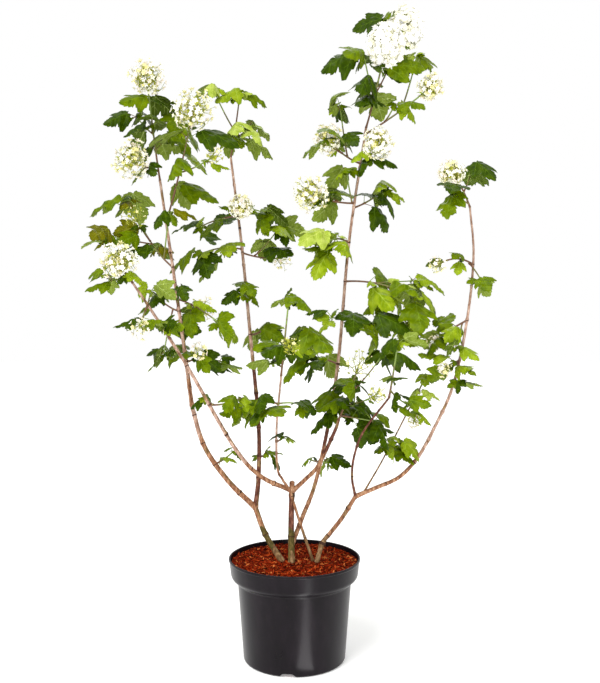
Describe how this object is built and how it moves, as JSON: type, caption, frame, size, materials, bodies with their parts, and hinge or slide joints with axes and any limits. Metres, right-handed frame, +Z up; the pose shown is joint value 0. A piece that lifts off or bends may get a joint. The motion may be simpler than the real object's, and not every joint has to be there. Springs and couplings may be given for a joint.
{
  "type": "snowball viburnum in a nursery pot",
  "caption": "Potted snowball viburnum shrub with slender upright stems, lobed green leaves on side shoots and round white to greenish heads of blossom, in a round black plastic nursery pot.",
  "frame": {"origin": "centre of the pot's flat underside", "axes": "+Z up along the pot's axis, -Y towards the plant's front, +X to the right seen from the front"},
  "size_m": [0.8974, 0.5005, 1.4047],
  "materials": {
    "pot": "satin moulded plastic",
    "growing_medium": "loose bark chips and coir",
    "bark": "smooth young bark with nodes and lenticels",
    "foliage": "soft leaves and petals"
  },
  "bodies": {
    "root": {"pot": "pot", "growing_medium": "growing_medium", "left_stem": "bark", "left_bough_lower": "bark", "left_bough_upper": "bark", "left_upright": "bark", "centre_stem": "bark", "centre_left_bough": "bark", "centre_right_bough": "bark", "tall_stem": "bark", "crossing_shoot": "bark", "right_stem": "bark", "right_bough_lower": "bark", "right_bough_upper": "bark", "right_inner_bough": "bark", "right_slender_shoot": "bark", "left_crown_foliage": "foliage", "left_arch_foliage": "foliage", "left_outer_spray_foliage": "foliage", "left_inner_spray_foliage": "foliage", "left_outer_leaves_foliage": "foliage", "left_low_spray_foliage": "foliage", "left_foot_twig_foliage": "foliage", "upright_crown_foliage": "foliage", "upright_high_right_foliage": "foliage", "upright_high_left_foliage": "foliage", "upright_mid_left_foliage": "foliage", "upright_mid_right_foliage": "foliage", "upright_low_foliage": "foliage", "upright_lower_foliage": "foliage", "upright_foot_foliage": "foliage", "upright_base_foliage": "foliage", "centre_left_crown_foliage": "foliage", "centre_left_spray_foliage": "foliage", "centre_left_leaves_foliage": "foliage", "centre_left_low_foliage": "foliage", "crossing_crown_foliage": "foliage", "crossing_leaves_foliage": "foliage", "crossing_foot_foliage": "foliage", "top_crown_foliage": "foliage", "top_right_foliage": "foliage", "high_left_foliage": "foliage", "high_right_foliage": "foliage", "upper_left_foliage": "foliage", "upper_right_foliage": "foliage", "hanging_left_foliage": "foliage", "mid_right_foliage": "foliage", "mid_leaves_foliage": "foliage", "low_left_foliage": "foliage", "low_leaves_foliage": "foliage", "tall_foot_foliage": "foliage", "centre_right_crown_foliage": "foliage", "right_inner_crown_foliage": "foliage", "slender_crown_foliage": "foliage", "slender_leaves_foliage": "foliage", "right_crown_foliage": "foliage", "right_high_foliage": "foliage", "right_mid_foliage": "foliage", "right_low_foliage": "foliage"}
  },
  "joints": []
}
